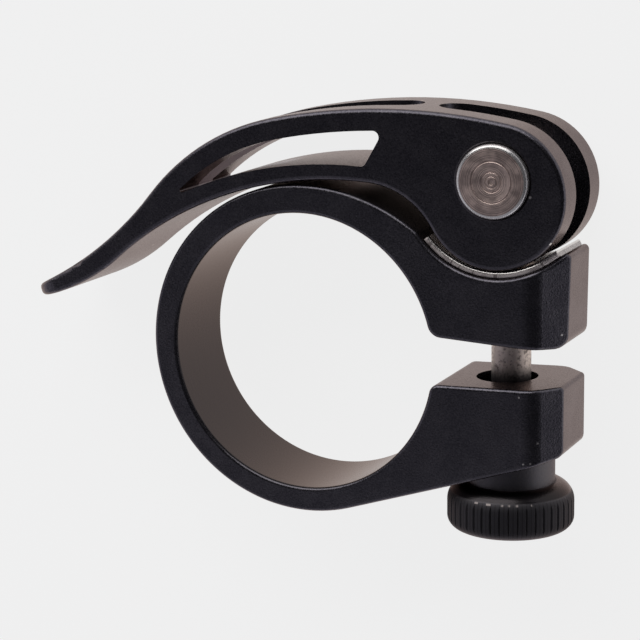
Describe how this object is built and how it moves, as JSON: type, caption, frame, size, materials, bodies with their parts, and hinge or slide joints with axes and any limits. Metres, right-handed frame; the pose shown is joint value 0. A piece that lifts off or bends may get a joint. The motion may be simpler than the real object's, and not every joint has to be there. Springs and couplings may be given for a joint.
{
  "type": "seatpost clamp",
  "caption": "Quick-release bicycle seatpost clamp: a split black collar drawn together by a stud, with a forked cam lever on a steel pivot barrel and a knurled adjusting nut.",
  "frame": {"origin": "centre of the bore, half way along it", "axes": "+Z along the bore, +X from the bore to the ears, +Y along the stud to the lever"},
  "size_m": [0.0722, 0.0525, 0.0162],
  "materials": {
    "collar_black": "bead blasted, black anodised",
    "washer_steel": "bright rolled strip",
    "lever_black": "bead blasted, black anodised",
    "barrel_steel": "turned",
    "stud_steel": "plated",
    "nut_black": "turned, knurled, black anodised"
  },
  "bodies": {
    "collar": {"clamp_collar": "collar_black", "cradle_washer": "washer_steel"},
    "stud": {"clamp_stud": "stud_steel", "pivot_barrel": "barrel_steel"},
    "lever": {"cam_lever": "lever_black"},
    "nut": {"adjusting_nut": "nut_black"}
  },
  "joints": [
    {"name": "nut_turn", "type": "hinge", "parent": "collar", "child": "nut", "pos_m": [0.02525, -0.01068, 0], "axis": [0, -1, 0], "range_deg": [0, 1080]},
    {"name": "stud_slide", "type": "slide", "parent": "collar", "child": "stud", "axis": [0, 1, 0], "range_m": [0, 0.0024]},
    {"name": "lever_swing", "type": "hinge", "parent": "stud", "child": "lever", "pos_m": [0.02525, 0.02257, 0], "axis": [0, 0, -1], "range_deg": [0, 170]}
  ],
  "couplings": [
    {"joint": "nut_turn", "follows": "stud_slide", "rad_per_m": 7853.9}
  ]
}
